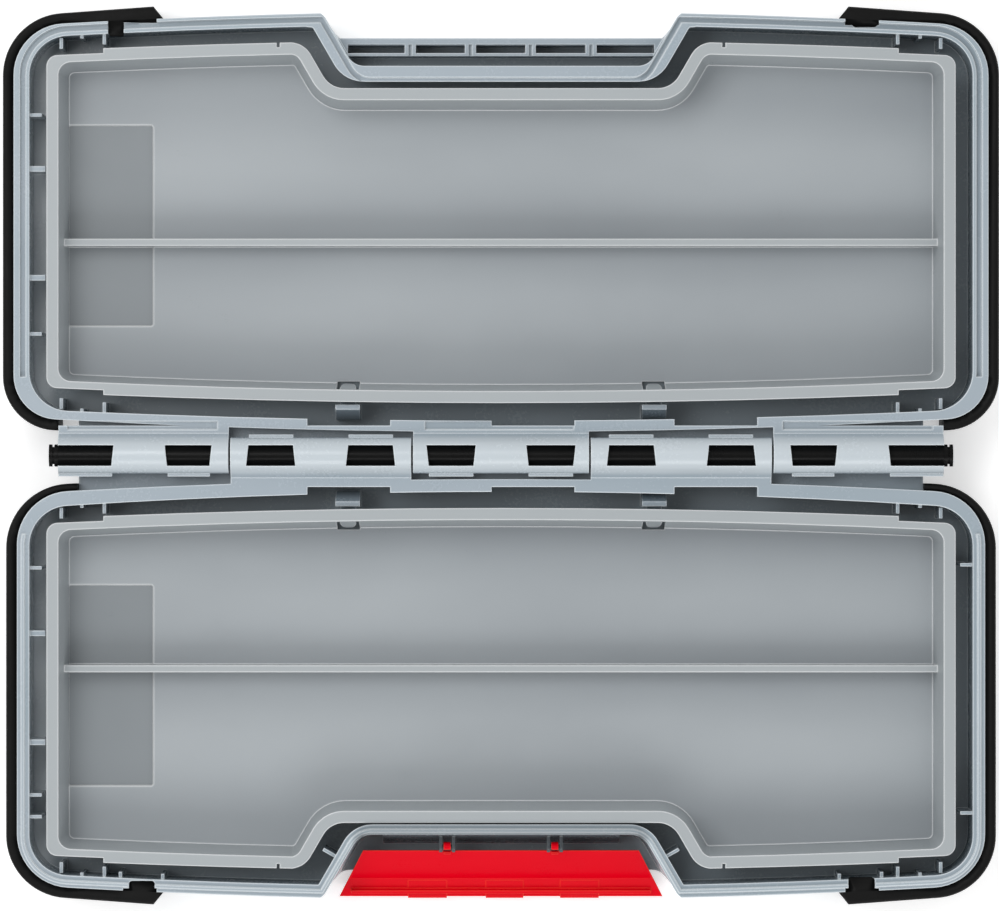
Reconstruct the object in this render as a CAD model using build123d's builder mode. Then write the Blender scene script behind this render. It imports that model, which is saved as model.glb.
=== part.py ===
from build123d import *
import os
from math import cos, hypot, radians, sin, tan

# Accessory case for long saw blades, lying open flat with the insides of both halves up.
# The base lies towards -Y and the lid towards +Y. They share a barrel hinge along X whose
# axis is at y = 0, level with the rims, so the lid swings half a turn and closes rim to rim.
# Millimetres. X along the hinge, Z up from the table. "Depth" is the distance from the
# hinge axis, measured along the table.

BASE, LID = -1, 1
beyond = 25.0             # how far cutting tools reach past the case
sunk = 0.5                # how deep added features are sunk into what carries them
skin = 0.01               # by which a cut passes a face it has to open

# Heights
half_height = 23.0        # table to hinge axis, half of the closed thickness
parting_gap = 0.3         # between the two rims when closed
floor_thickness = 2.4
rim_height = 4.2          # depth of the flange that runs round the rim
rim_top = half_height - parting_gap / 2

# Hollow of both shells, seen from above
hollow_half_width = 125.9
hollow_front = 115.1      # depth of the front edge at the middle
hollow_front_bow = 3.6    # how far the front edge falls back at the corners
hollow_rear = {BASE: 9.7, LID: 9.3}
hollow_rear_bow = {BASE: 4.4, LID: 3.1}
hollow_corner = 10.6

# Rims round the hollow
front_rim_width = 3.5
side_rim_width = {BASE: 3.3, LID: 4.2}
rim_front_bow = 4.1
rear_rim_depth = 6.3      # depth of the rear rim's outer edge at the middle
rear_rim_bow = 4.0
front_corner = {BASE: 14.3, LID: 13.8}
rear_corner = {BASE: 14.3, LID: 11.8}
flange_overhang = 1.5     # how far the rim flange stands out over the wall
rear_overhang = 0.3
bottom_edge_radius = 2.6

# Finger notch in the middle of the front
notch_half_width = 37.8   # half width at notch_depth
notch_depth = {BASE: 101.2, LID: 104.0}
notch_rim = {BASE: 2.8, LID: 4.3}
flank_slope = 0.58        # sideways run of the flank for each millimetre of depth
notch_corner = {BASE: 6.1, LID: 5.0}
notch_mouth_radius = 4.0
least_mouth_radius = 0.8
notch_draft = 3.0         # degrees
notch_wall_run = 3.4      # how far the base's wall slopes out below the rim
notch_wall_drop = 0.6     # the slope starts this far below the rim
notch_wall_root = 0.8
shelf_depth = 111.7       # the outer panel reaches out to here below the notch

# Seal: a fine tongue on the base's rim and a groove in the lid's
seal_offset = 1.75        # from the hollow's edge to the middle of the tongue
tongue_width = 0.9
tongue_height = 0.9
groove_clearance = 0.3
seal_rear_end = 21.0      # depth where tongue and groove stop

# Hinge
knuckle_radius = 4.8
knuckle_lip_radius = 5.6  # lower half of the barrel under a window
knuckle_edges = (-118.1, -72.4, -23.7, 23.7, 72.4, 118.1)
knuckle_gap = 0.5
knuckle_root = 5.9        # where the barrel's flat top meets its own rim
pin_radius = 2.65
pin_clearance = 0.05
pin_head_radius = 2.95
pin_head_gap = 0.15
pin_head_length = 1.7
pin_neck_length = 0.6
pin_neck_radius = 2.3
window_half_width = 6.55
window_taper = 0.6        # the window is this much narrower on each side at its far edge
window_half_depth = 2.75
window_offset = 13.3      # from a knuckle's middle to its windows
end_window_inner = 103.2
outer_window_far, outer_window_near = 7.5, 5.0    # the outer knuckles' second window
barrel_slot_half_depth = 1.9
rear_block_half_width = 113.0
rear_block_face = 0.4     # the two rear blocks nearly meet when the case lies open
barrel_room = 6.3         # radius kept free round the hinge axis
wall = 2.0

# Steps in the rear rim's inner edge
rim_step_starts = (-51.7, -2.5, 46.3)
rim_step_length = 22.1
rim_step_face = {BASE: 8.4, LID: 8.0}
lid_pocket_spans = ((-115.7, -75.7), (-20.3, 19.4), (75.2, 115.2))
lid_pocket_depth = 0.9
lid_pocket_near, lid_pocket_far = 6.9, 9.1

# Ribs in the channel between shell and tray
rib_width = 0.9
rib_top = 20.6
side_ribs = {
    (BASE, -1): (30.0, 47.5, 76.6, 90.7, 96.5),
    (BASE, 1): (29.2, 95.5),
    (LID, -1): (32.5, 47.5, 76.6, 91.0),
    (LID, 1): (),
}
side_rib_length = 3.2
thick_side_ribs = (47.5, 76.6)
thick_rib_width = 1.5
thick_rib_length = 4.2    # nearly up to the tray
corner_ribs = ((106.0, 2.7), (112.0, 0.8), (117.5, 1.7))    # place along X, length
corner_rib_shift = 1.6    # the rib in the round corner stands this much further in
key_ribs = (90.4, 101.7)
key_rib_length = 1.5
flank_rib_depth = 107.0   # where the ribs on the notch's flanks stand
flank_rib_length = 3.6
rib_root = 1.2            # how far the ribs are sunk into the wall behind them

# Trays
tray_half_width = 121.4
tray_front = 110.9
tray_front_bow = 2.8
tray_rear = 14.0
tray_rear_bow = 2.8
tray_corner = 4.0
tray_end_step = 1.3       # the rim is set back near the four corners
tray_end_corner = 3.0
tray_step_place = 106.2
tray_rim_width = 3.2
tray_rim_lip = 1.4        # how far the rim stands out over the wall
tray_rim_thickness = 1.5
tray_top = 22.0
tray_seat_gap = 0.3
tray_floor = 1.8
tray_wall_draft = 5.0     # degrees, outside
tray_inner_draft = 6.0
tray_notch_depth = 98.1
tray_notch_grow = 8.3     # distance from the shell's notch flank
tray_notch_corner = 6.4
tray_notch_mouth = 6.5
least_tray_mouth = 1.5
tray_mouth_drop = 0.56    # the notch's mouth starts behind the bowed front edge by this much
tray_inner_corner = 3.4
divider_depth = 57.2
divider_width = 1.9
divider_height = 8.0
pad_inner = 93.6          # recessed pad at the left end of the tray, which runs up to the wall
pad_outer = 116.6
pad_near, pad_far = 34.8, 89.0
pad_recess = 0.8
pad_corner = 0.7
tray_slot_place = 59.5
tray_slot_width = 0.8
tray_slot_depth = 1.2

# Snaps that hold the trays: a springy tongue in the tray's rear wall behind a nose of the shell
snap_place = 41.0
snap_window_half_width = 3.0
snap_window_depth = 19.9
tongue_half_width = 2.15
tongue_tip_depth = 19.4
tongue_thickness = 1.3
tongue_low = 4.9
tongue_tip_radius = 1.5
tongue_step_depth = 16.2  # the tongue's outer step, caught under the nose
tongue_step_low, tongue_step_high = 5.4, 8.4
post_half_width = 3.3
post_near, post_far = 12.3, 13.6
post_high = 19.0
post_foot_near = 9.6      # a sloping web stiffens the post from behind
post_web_high = 12.0
nose_low, nose_high = 8.7, 11.6
nose_depth = 16.8

# Corner bumpers
bumper_thickness = {BASE: 2.95, LID: 2.9}
bumper_top_gap = 0.5
bumper_fit = 0.05
bumper_front_end = 92.8   # where the front leg's outer face ends
bumper_wedge = 3.1        # the end slants down to the shell over this length
bumper_end_depth = 119.9
bumper_corner_depth = 117.0
bumper_corner = 16.7
bumper_rear_corner = {BASE: 17.2, LID: 14.3}
bumper_rear_depth = {BASE: 7.5, LID: 6.7}
bumper_rear_end = {BASE: 113.05, LID: 118.2}
bumper_foot = 6.5         # the foot's reach under the shell
bumper_foot_thickness = 1.0
bumper_edge = 0.6         # bevel along the top and bottom of the outer face
key_pad_span = (92.0, 100.8)
key_pad_depth = {(BASE, -1): 0.7, (BASE, 1): 0.7, (LID, -1): 0.7, (LID, 1): 1.3}
key_spans = {
    (BASE, -1): (92.5, 99.2),
    (BASE, 1): (92.8, 99.7),
    (LID, -1): (100.8, 104.8),
    (LID, 1): (93.9, 100.4),
}
key_tip_depth = {(BASE, -1): 113.6, (BASE, 1): 112.7, (LID, -1): 112.0, (LID, 1): 114.5}
key_tip_radius = 0.8
key_root = 1.3            # how far the keys run back into the bumper
key_fit = 0.1
key_drop = 0.5            # the keys stay below the bumper's top, clear of the tongue

# Catch on the lid: a bar held by ribs, with five deep pockets behind it
catch_bar_low, catch_bar_high = 14.5, 17.0
catch_bar_thickness = 1.7
catch_pocket_width = 2.3  # front to back
catch_pocket_spans = ((-41.0, -25.8), (-22.8, -9.7), (-6.7, 6.5), (9.3, 22.6), (25.6, 41.0))
catch_rib_groove = 0.9
catch_groove_depth = 1.0
catch_slot_height = 2.5
catch_slot_reach = 2.5
catch_slot_half_width = 41.5
catch_trough_wall = 0.8
catch_trough_floor = 6.5
catch_trough_clearance = 0.3
catch_root = 1.0

# Latch, worked out in its closed pose round its pivot
pivot_depth = 104.9
pivot_height = 17.6
pivot_pin_radius = 0.8
pivot_clearance = 0.05
clip_radius = 1.5
clip_width = 1.9
clip_place = 14.4
clip_mouth = 1.2
ear_radius = 1.3
ear_width = 0.9
ear_gap = 0.3
latch_inner_offset = 0.7  # from the pivot axis to the plate's inner face
latch_plate = 1.8
latch_start = 2.0
latch_clearance = 0.3
latch_face = shelf_depth - pivot_depth + latch_clearance        # inner face, closed, from the pivot
latch_grip = 2 * half_height - catch_bar_low + latch_clearance - pivot_height    # hook's height
latch_hook_thickness = 0.9
latch_hook_overlap = 1.6
latch_hook_half_width = 40.3
latch_crown = 2.45        # from the hook's gripping face to the free edge
latch_crown_lean = 0.4
latch_lip_reach = 2.7     # how far the pull lip stands out from the plate
latch_lip_thickness = 1.3
latch_lip_drop = 0.35
latch_lip_root = 1.3
latch_half_width = 36.5   # at the pivot end
latch_longest = 60.0      # blank before its ends are trimmed
latch_flare = 0.507       # sideways run for each millimetre of depth, lying open
latch_closed_angle = 61.0 # above level, degrees
latch_open_angle = 46.0   # below level
latch_pad_spans = ((-25.0, -14.6), (-4.1, 6.0), (15.9, 26.3))
latch_pad_rise = 0.15     # above the plate's inner face
latch_pad_overhang = 0.5  # beyond the free edge
latch_pad_start = 0.5     # from the plate's bend


def at(side, place, depth):
    """Point on the table plan at a place along X and a depth from the hinge axis."""
    return (place, side * depth)


def barrel_plan(side, half_width, front, front_bow, rear, rear_bow, front_radius, rear_radius):
    """Plan with straight sides, bowed front and rear edges and round corners."""
    with BuildSketch() as plan:
        with BuildLine():
            front_edge = ThreePointArc(
                at(side, -half_width, front - front_bow),
                at(side, 0, front),
                at(side, half_width, front - front_bow),
            )
            rear_edge = ThreePointArc(
                at(side, half_width, rear + rear_bow),
                at(side, 0, rear),
                at(side, -half_width, rear + rear_bow),
            )
            Line(front_edge @ 1, rear_edge @ 0)
            Line(rear_edge @ 1, front_edge @ 0)
        make_face()
        middle = (front + rear) / 2
        fillet([v for v in plan.vertices() if abs(v.Y) > middle], front_radius)
        fillet([v for v in plan.vertices() if abs(v.Y) < rear + rear_bow + 0.01], rear_radius)
    return plan.sketch


def hollow_plan(side, inset=0.0):
    """Plan of the shell's hollow before the notch is taken out of it."""
    return barrel_plan(
        side, hollow_half_width - inset, hollow_front - inset, hollow_front_bow,
        hollow_rear[side] + inset, hollow_rear_bow[side], hollow_corner - inset, hollow_corner - inset,
    )


def rim_plan(side, inset=0.0, rear_inset=None):
    """Plan of the rim's outer edge, without the notch."""
    rear_inset = inset if rear_inset is None else rear_inset
    return barrel_plan(
        side, hollow_half_width + side_rim_width[side] - inset, hollow_front + front_rim_width - inset,
        rim_front_bow, rear_rim_depth + rear_inset, rear_rim_bow,
        front_corner[side] - inset, rear_corner[side] - inset,
    )


def notch_flank(depth, grow=0.0):
    """Half width of the notch at a depth, its outline moved out by grow."""
    return notch_half_width + flank_slope * (depth - notch_depth[BASE]) + grow * hypot(1, flank_slope)


def notch_plan(side, bottom, grow=0.0, corner=None, mouth=None, front=None):
    """Plan of the front notch: level bottom, slanting flanks and a mouth that flares out."""
    corner = notch_corner[side] + grow if corner is None else corner
    mouth = max(notch_mouth_radius - grow, least_mouth_radius) if mouth is None else mouth
    front = hollow_front + front_rim_width - grow if front is None else front
    outer_half = notch_flank(front, grow) + mouth * 2
    far = front + beyond
    with BuildSketch() as plan:
        with BuildLine():
            edge = FilletPolyline(
                at(side, -outer_half, front),
                at(side, -notch_flank(front, grow), front),
                at(side, -notch_flank(bottom, grow), bottom),
                at(side, notch_flank(bottom, grow), bottom),
                at(side, notch_flank(front, grow), front),
                at(side, outer_half, front),
                radius=[mouth, corner, corner, mouth],
            )
            Polyline(edge @ 1, at(side, outer_half, far), at(side, -outer_half, far), edge @ 0)
        make_face()
    return plan.sketch


def box_plan(side, place_from, place_to, depth_from, depth_to):
    """Rectangle on the plan between two places along X and two depths."""
    with BuildSketch() as plan:
        with BuildLine():
            Polyline(
                at(side, place_from, depth_from), at(side, place_to, depth_from),
                at(side, place_to, depth_to), at(side, place_from, depth_to), close=True,
            )
        make_face()
    return plan.sketch


def rise(plan, low, high, mode=Mode.ADD, taper=0.0):
    """Extrude a plan from one height to another."""
    extrude(plan.moved(Location((0, 0, low))), amount=high - low, taper=taper, mode=mode)


def sink(plan, high, low, mode=Mode.ADD, taper=0.0):
    """Extrude a plan down from one height to another, narrowing by the taper angle."""
    extrude(plan.moved(Location((0, 0, high))), amount=high - low, dir=(0, 0, -1), taper=taper, mode=mode)


def hollow_mass(side):
    """Everything that is scooped out of a shell from above."""
    top = half_height + 1
    step_far = hollow_rear[side] + 6
    with BuildPart(mode=Mode.PRIVATE) as scoop:
        rise(hollow_plan(side), floor_thickness, top)
        for start in rim_step_starts:
            step = box_plan(side, start, start + rim_step_length, rim_step_face[side], step_far)
            rise(step, floor_thickness, top)
        undercut = box_plan(
            side, -rear_block_half_width + wall, rear_block_half_width - wall,
            rear_block_face + wall, step_far,
        )
        rise(undercut, floor_thickness, half_height - barrel_room - wall)
        keep = notch_plan(side, notch_depth[side] - notch_rim[side], notch_rim[side])
        sink(keep, top, floor_thickness - 1, Mode.SUBTRACT, notch_draft)
    return scoop.part


def seal_plan(side, width):
    """Band that follows the rim from one rear corner round the front to the other."""
    offset_out = seal_offset + width / 2
    offset_in = seal_offset - width / 2
    with BuildSketch() as band:
        add(hollow_plan(side, -offset_out))
        add(notch_plan(side, notch_depth[BASE] - notch_rim[BASE] + offset_out,
                       notch_rim[BASE] - offset_out), mode=Mode.SUBTRACT)
        with BuildSketch(mode=Mode.PRIVATE) as core:
            add(hollow_plan(side, -offset_in))
            add(notch_plan(side, notch_depth[BASE] - notch_rim[BASE] + offset_in,
                           notch_rim[BASE] - offset_in), mode=Mode.SUBTRACT)
        add(core.sketch, mode=Mode.SUBTRACT)
        add(box_plan(side, -200, 200, -5, seal_rear_end), mode=Mode.SUBTRACT)
    return band.sketch


def bumper_plan(side, end, grow=0.0):
    """Outer plan of a corner bumper and the ground inside it, for one end of the case."""
    outer = hollow_half_width + side_rim_width[side] + bumper_thickness[side] + grow
    rear = bumper_rear_depth[side] - grow
    rear_end = bumper_rear_end[side] - grow
    front_end = bumper_front_end - grow
    inner = 80.0
    with BuildSketch() as plan:
        with BuildLine():
            edge = FilletPolyline(
                at(side, end * (front_end - bumper_wedge), hollow_front + 1.0),
                at(side, end * front_end, bumper_end_depth + grow),
                at(side, end * outer, bumper_corner_depth + grow),
                at(side, end * outer, rear),
                at(side, end * rear_end, rear),
                radius=[0, bumper_corner, bumper_rear_corner[side]],
            )
            Polyline(
                edge @ 1,
                at(side, end * rear_end, rear + 14),
                at(side, end * inner, rear + 14),
                at(side, end * inner, hollow_front - 10),
                at(side, end * (front_end - bumper_wedge), hollow_front - 10),
                edge @ 0,
            )
        make_face()
    return plan.sketch


def front_edge_depth(side, place):
    """Depth of the rim's outer front edge at a place along X."""
    half_width = hollow_half_width + side_rim_width[side]
    return hollow_front + front_rim_width - rim_front_bow * (place / half_width) ** 2


def key_plan(side, end, fit=0.0):
    """Pad and round-tipped tooth by which a bumper keys into the rim."""
    low, high = key_pad_span
    pad_edge = front_edge_depth(side, (low + high) / 2)
    pad_near = pad_edge - key_pad_depth[(side, end)] - fit
    tooth_low, tooth_high = key_spans[(side, end)]
    tip = key_tip_depth[(side, end)] - fit
    tooth_far = front_edge_depth(side, (tooth_low + tooth_high) / 2) + key_root
    with BuildSketch() as plan:
        add(box_plan(side, end * (tooth_low - fit), end * (tooth_high + fit), tip, tooth_far))
        fillet([v for v in plan.vertices() if abs(v.Y) < tip + 0.01], key_tip_radius + fit)
        add(box_plan(side, end * (low - fit), end * (high + fit), pad_near, pad_edge + key_root))
    return plan.sketch


def channel_rib(side, end, places, depths):
    """Upright rib in the channel between two places and two depths, standing on the floor."""
    plan = box_plan(side, end * places[0], end * places[1], depths[0], depths[1])
    rise(plan, floor_thickness - sunk, rib_top)


def flank_rib(side, end):
    """Rib that stands off the notch's flank at a right angle, in the channel."""
    lean = hypot(1, flank_slope)
    across = (1 / lean, -flank_slope / lean)
    along = (flank_slope / lean, 1 / lean)
    root = (notch_flank(flank_rib_depth, notch_rim[side]), flank_rib_depth)
    corners = []
    for reach, shift in ((-rib_root, -1), (flank_rib_length, -1), (flank_rib_length, 1), (-rib_root, 1)):
        offset = shift * rib_width / 2
        corners.append(at(side, end * (root[0] + across[0] * reach + along[0] * offset),
                          root[1] + across[1] * reach + along[1] * offset))
    with BuildSketch() as plan:
        with BuildLine():
            Polyline(*corners, close=True)
        make_face()
    rise(plan.sketch, floor_thickness - sunk, rib_top)


def channel_ribs(side):
    """Ribs that stand between the shell's wall and its tray."""
    half = rib_width / 2
    for end in (-1, 1):
        for depth in side_ribs[(side, end)]:
            thick = depth in thick_side_ribs
            length = thick_rib_length if thick else side_rib_length
            side_half = thick_rib_width / 2 if thick else half
            channel_rib(side, end, (hollow_half_width - length, hollow_half_width + rib_root),
                        (depth - side_half, depth + side_half))
        for place, length in corner_ribs:
            bow = (place / hollow_half_width) ** 2
            shift = corner_rib_shift if place > hollow_half_width - hollow_corner else 0.0
            front = hollow_front - hollow_front_bow * bow - shift
            rear = hollow_rear[side] + hollow_rear_bow[side] * bow + shift
            channel_rib(side, end, (place - half, place + half), (front - length, front + rib_root))
            channel_rib(side, end, (place - half, place + half), (rear - rib_root, rear + length))
        if side == BASE:
            for place in key_ribs:
                front = hollow_front - hollow_front_bow * (place / hollow_half_width) ** 2
                channel_rib(side, end, (place - half, place + half),
                            (front - key_rib_length, front + rib_root))
            flank_rib(side, end)


def section(points, low, high, mode=Mode.ADD):
    """Extrude a closed polygon of the YZ plane along X."""
    with BuildSketch(Plane.YZ.offset(low)) as sketch:
        with BuildLine():
            Polyline(*points, close=True)
        make_face()
    extrude(sketch.sketch, amount=high - low, mode=mode)


def tray_posts(side):
    """Posts in the rear channel with a nose that catches the tray's springy tongue."""
    for end in (-1, 1):
        middle = end * snap_place
        post = [
            (side * post_foot_near, floor_thickness - sunk), (side * post_foot_near, post_web_high),
            (side * post_near, post_high), (side * post_far, post_high),
            (side * post_far, floor_thickness - sunk),
        ]
        section(post, middle - post_half_width, middle + post_half_width)
        nose = [
            (side * (post_far - sunk), nose_low), (side * nose_depth, nose_low),
            (side * post_far, nose_high), (side * (post_far - sunk), nose_high),
        ]
        section(nose, middle - tongue_half_width, middle + tongue_half_width)


def knuckle_profile(side, root_depth):
    """Section of a knuckle: a barrel that runs into its own rim by a flat arm."""
    shoulder = knuckle_radius * sin(radians(45))
    with BuildSketch(Plane.YZ) as section:
        with BuildLine():
            Polyline(
                (0, half_height - knuckle_radius),
                (side * root_depth, half_height - knuckle_radius),
                (side * root_depth, rim_top),
                (side * knuckle_root, rim_top),
                (side * shoulder, half_height + shoulder),
                (0, half_height),
                close=True,
            )
        make_face()
        with Locations((0, half_height)):
            Circle(knuckle_radius)
    return section.sketch


def knuckle(side, low, high, windows, slot_span):
    """One knuckle from low to high along X, with its windows, their lips and the slot below."""
    extrude(knuckle_profile(side, rim_step_face[side]).moved(Location((low, 0, 0))), amount=high - low)
    for window_low, window_high in windows:
        lip_low = max(low, window_low + window_taper)
        lip_high = min(high, window_high - window_taper)
        with BuildSketch(Plane.YZ.offset(lip_low)) as lip:
            with Locations((0, half_height)):
                Circle(knuckle_lip_radius)
            with Locations((side * knuckle_lip_radius, half_height)):
                Rectangle(2 * knuckle_lip_radius, 4 * knuckle_lip_radius, mode=Mode.SUBTRACT)
            with Locations((0, half_height + knuckle_lip_radius)):
                Rectangle(4 * knuckle_lip_radius, 2 * knuckle_lip_radius, mode=Mode.SUBTRACT)
        extrude(lip.sketch, amount=lip_high - lip_low)
    for window_low, window_high in windows:
        with BuildSketch(Plane.XY.offset(half_height)) as opening:
            with BuildLine():
                Polyline(
                    at(side, window_low, window_half_depth),
                    at(side, window_high, window_half_depth),
                    at(side, window_high - window_taper, -window_half_depth),
                    at(side, window_low + window_taper, -window_half_depth),
                    close=True,
                )
            make_face()
        extrude(opening.sketch, amount=2 * knuckle_radius, mode=Mode.SUBTRACT)
    slot = box_plan(side, slot_span[0], slot_span[1], -barrel_slot_half_depth, barrel_slot_half_depth)
    rise(slot, half_height - 2 * knuckle_radius, half_height, Mode.SUBTRACT)


def pin_bore():
    """Clear the bore for the hinge pin along the whole hinge."""
    with BuildSketch(Plane.YZ.offset(knuckle_edges[0] - 5)) as bore:
        with Locations((0, half_height)):
            Circle(pin_radius + pin_clearance)
    extrude(bore.sketch, amount=knuckle_edges[-1] - knuckle_edges[0] + 10, mode=Mode.SUBTRACT)


def knuckle_span(index):
    """Ends of one of the five knuckles, with half the running gap taken off inner ends."""
    low, high = knuckle_edges[index], knuckle_edges[index + 1]
    low += knuckle_gap / 2 if index > 0 else 0
    high -= knuckle_gap / 2 if index < 4 else 0
    return low, high


def tub(side):
    """Lower body of a shell with its round bottom edge."""
    with BuildPart(mode=Mode.PRIVATE) as body:
        rise(rim_plan(side, flange_overhang, rear_overhang), 0, rim_top - rim_height)
        fillet(body.faces().sort_by(Axis.Z)[0].edges(), bottom_edge_radius)
    return body.part


def shell_body(side):
    """Tub with a flanged rim, the notch cut into its front and the rear block under the hinge."""
    add(tub(side))
    rise(rim_plan(side), rim_top - rim_height, rim_top)
    block = box_plan(side, -rear_block_half_width, rear_block_half_width,
                     rear_block_face, hollow_rear[side] + 3)
    rise(block, 0, half_height - barrel_room)
    add(hollow_mass(side), mode=Mode.SUBTRACT)
    sink(notch_plan(side, notch_depth[side]), rim_top + skin, floor_thickness, Mode.SUBTRACT, notch_draft)
    rise(notch_plan(side, shelf_depth), -1, half_height, Mode.SUBTRACT)


def bumper_rebates(side):
    """Rebates in a shell for the bumpers' feet and keys."""
    for end in (-1, 1):
        with BuildSketch() as foot:
            add(bumper_plan(side, end, bumper_fit))
            add(rim_plan(side, flange_overhang + bumper_foot), mode=Mode.SUBTRACT)
        rise(foot.sketch, -1, bumper_foot_thickness + bumper_fit, Mode.SUBTRACT)
        rise(key_plan(side, end, key_fit), rim_top - rim_height - 1, half_height + tongue_height,
             Mode.SUBTRACT)


def knuckles(side, indices):
    """All the knuckles of one half."""
    for index in indices:
        low, high = knuckle_span(index)
        middle = (low + high) / 2
        centres = [middle - window_offset, middle + window_offset]
        windows = [(c - window_half_width, c + window_half_width) for c in centres]
        if index == 0:
            windows = [(low - 1, -end_window_inner),
                       (centres[1] - outer_window_far, centres[1] + outer_window_near)]
        if index == 4:
            windows = [(centres[0] - outer_window_near, centres[0] + outer_window_far),
                       (end_window_inner, high + 1)]
        knuckle(side, low, high, windows, (windows[0][1], windows[1][0]))
    pin_bore()


def pivot_ears():
    """Pairs of ears with a short pin, standing off the base's notch wall."""
    for centre in (-clip_place, clip_place):
        inner = clip_width / 2 + ear_gap
        for low in (centre - inner - ear_width, centre + inner):
            with BuildSketch(Plane.YZ.offset(low)) as ear:
                with Locations((BASE * pivot_depth, pivot_height)):
                    Circle(ear_radius)
                reach = pivot_depth - notch_depth[BASE]
                with Locations((BASE * (pivot_depth - reach / 2), pivot_height)):
                    Rectangle(reach, 2 * ear_radius)
            extrude(ear.sketch, amount=ear_width)
        with BuildSketch(Plane.YZ.offset(centre - inner - ear_width / 2)) as pin:
            with Locations((BASE * pivot_depth, pivot_height)):
                Circle(pivot_pin_radius)
        extrude(pin.sketch, amount=2 * inner + ear_width)


def notch_wall():
    """Sloping outer face of the base's wall below the notch's rim."""
    top = rim_top - notch_wall_drop
    back = notch_depth[BASE] - notch_wall_root
    slope = [
        (BASE * back, top), (BASE * notch_depth[BASE], top),
        (BASE * (notch_depth[BASE] + notch_wall_run), floor_thickness - sunk),
        (BASE * back, floor_thickness - sunk),
    ]
    half = notch_half_width - notch_corner[BASE]
    section(slope, -half, half)


def catch():
    """Block below the lid's notch with the bar, its ribs, the trough and the five pockets."""
    front = shelf_depth
    back = front - catch_bar_thickness - catch_pocket_width
    open_top = catch_bar_high + 1
    with BuildSketch() as block:
        add(notch_plan(LID, notch_depth[LID] - catch_root, catch_root))
        add(box_plan(LID, -100, 100, front, front + 60), mode=Mode.SUBTRACT)
    rise(block.sketch, floor_thickness - sunk, catch_bar_high)
    with BuildSketch() as trough:
        add(notch_plan(LID, notch_depth[LID], catch_trough_clearance))
        add(box_plan(LID, -100, 100, back - catch_trough_wall, front + 60), mode=Mode.SUBTRACT)
    rise(trough.sketch, catch_trough_floor, open_top, Mode.SUBTRACT)
    for low, high in catch_pocket_spans:
        rise(box_plan(LID, low, high, back, back + catch_pocket_width), floor_thickness, open_top,
             Mode.SUBTRACT)
    for left, right in zip(catch_pocket_spans[:-1], catch_pocket_spans[1:]):
        middle = (left[1] + right[0]) / 2
        groove = box_plan(LID, middle - catch_rib_groove / 2, middle + catch_rib_groove / 2,
                          back - catch_trough_wall - 1, back + catch_pocket_width)
        rise(groove, catch_bar_high - catch_groove_depth, open_top, Mode.SUBTRACT)
    slot = box_plan(LID, -catch_slot_half_width, catch_slot_half_width,
                    front - catch_slot_reach, front + 5)
    rise(slot, catch_bar_low - catch_slot_height, catch_bar_low, Mode.SUBTRACT)


def tray_plan(side, inset=0.0, corner=None, set_back=0.0):
    """Plan of a tray with its notch."""
    corner = tray_corner - inset if corner is None else corner
    with BuildSketch() as plan:
        add(barrel_plan(side, tray_half_width - inset, tray_front - inset - set_back, tray_front_bow,
                        tray_rear + inset + set_back, tray_rear_bow, corner, corner))
        add(notch_plan(side, tray_notch_depth - inset, tray_notch_grow + inset,
                       tray_notch_corner + inset, max(tray_notch_mouth - inset, least_tray_mouth),
                       tray_front - tray_mouth_drop - inset), mode=Mode.SUBTRACT)
    return plan.sketch


def tray_rim_plan(side):
    """Plan of a tray's rim, set back near the four corners, with a slot by each end of the notch."""
    with BuildSketch() as plan:
        add(tray_plan(side))
        add(box_plan(side, -tray_step_place, tray_step_place, 0, tray_front + 1), mode=Mode.INTERSECT)
        add(tray_plan(side, corner=tray_end_corner, set_back=tray_end_step))
        for end in (-1, 1):
            front = tray_front - tray_front_bow * (tray_slot_place / tray_half_width) ** 2
            add(box_plan(side, end * tray_slot_place - tray_slot_width / 2,
                         end * tray_slot_place + tray_slot_width / 2,
                         front - tray_slot_depth, tray_front + 1), mode=Mode.SUBTRACT)
    return plan.sketch


def springy_tongue(side, end):
    """Tongue that hangs from the tray's rim, with a step on its outer face and a round tip."""
    rim_low = tray_top - tray_rim_thickness
    root_near = tray_rear + tray_rim_width - tongue_thickness
    outline = [
        (side * root_near, rim_low + sunk), (side * (root_near + tongue_thickness), rim_low + sunk),
        (side * tongue_tip_depth, tongue_low), (side * (tongue_tip_depth - tongue_thickness), tongue_low),
        (side * tongue_step_depth, tongue_step_low), (side * tongue_step_depth, tongue_step_high),
        (side * (tongue_step_depth + 0.7), tongue_step_high),
    ]
    middle = end * snap_place
    low, high = middle - tongue_half_width, middle + tongue_half_width
    with BuildPart(mode=Mode.PRIVATE) as tongue:
        section(outline, low, high)
        with BuildSketch() as plan:
            add(box_plan(side, low, high, tray_rear, tongue_tip_depth))
            fillet([v for v in plan.vertices() if abs(v.Y) > tongue_tip_depth - 0.01], tongue_tip_radius)
        rise(plan.sketch, 0, half_height, Mode.INTERSECT)
    return tongue.part


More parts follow.
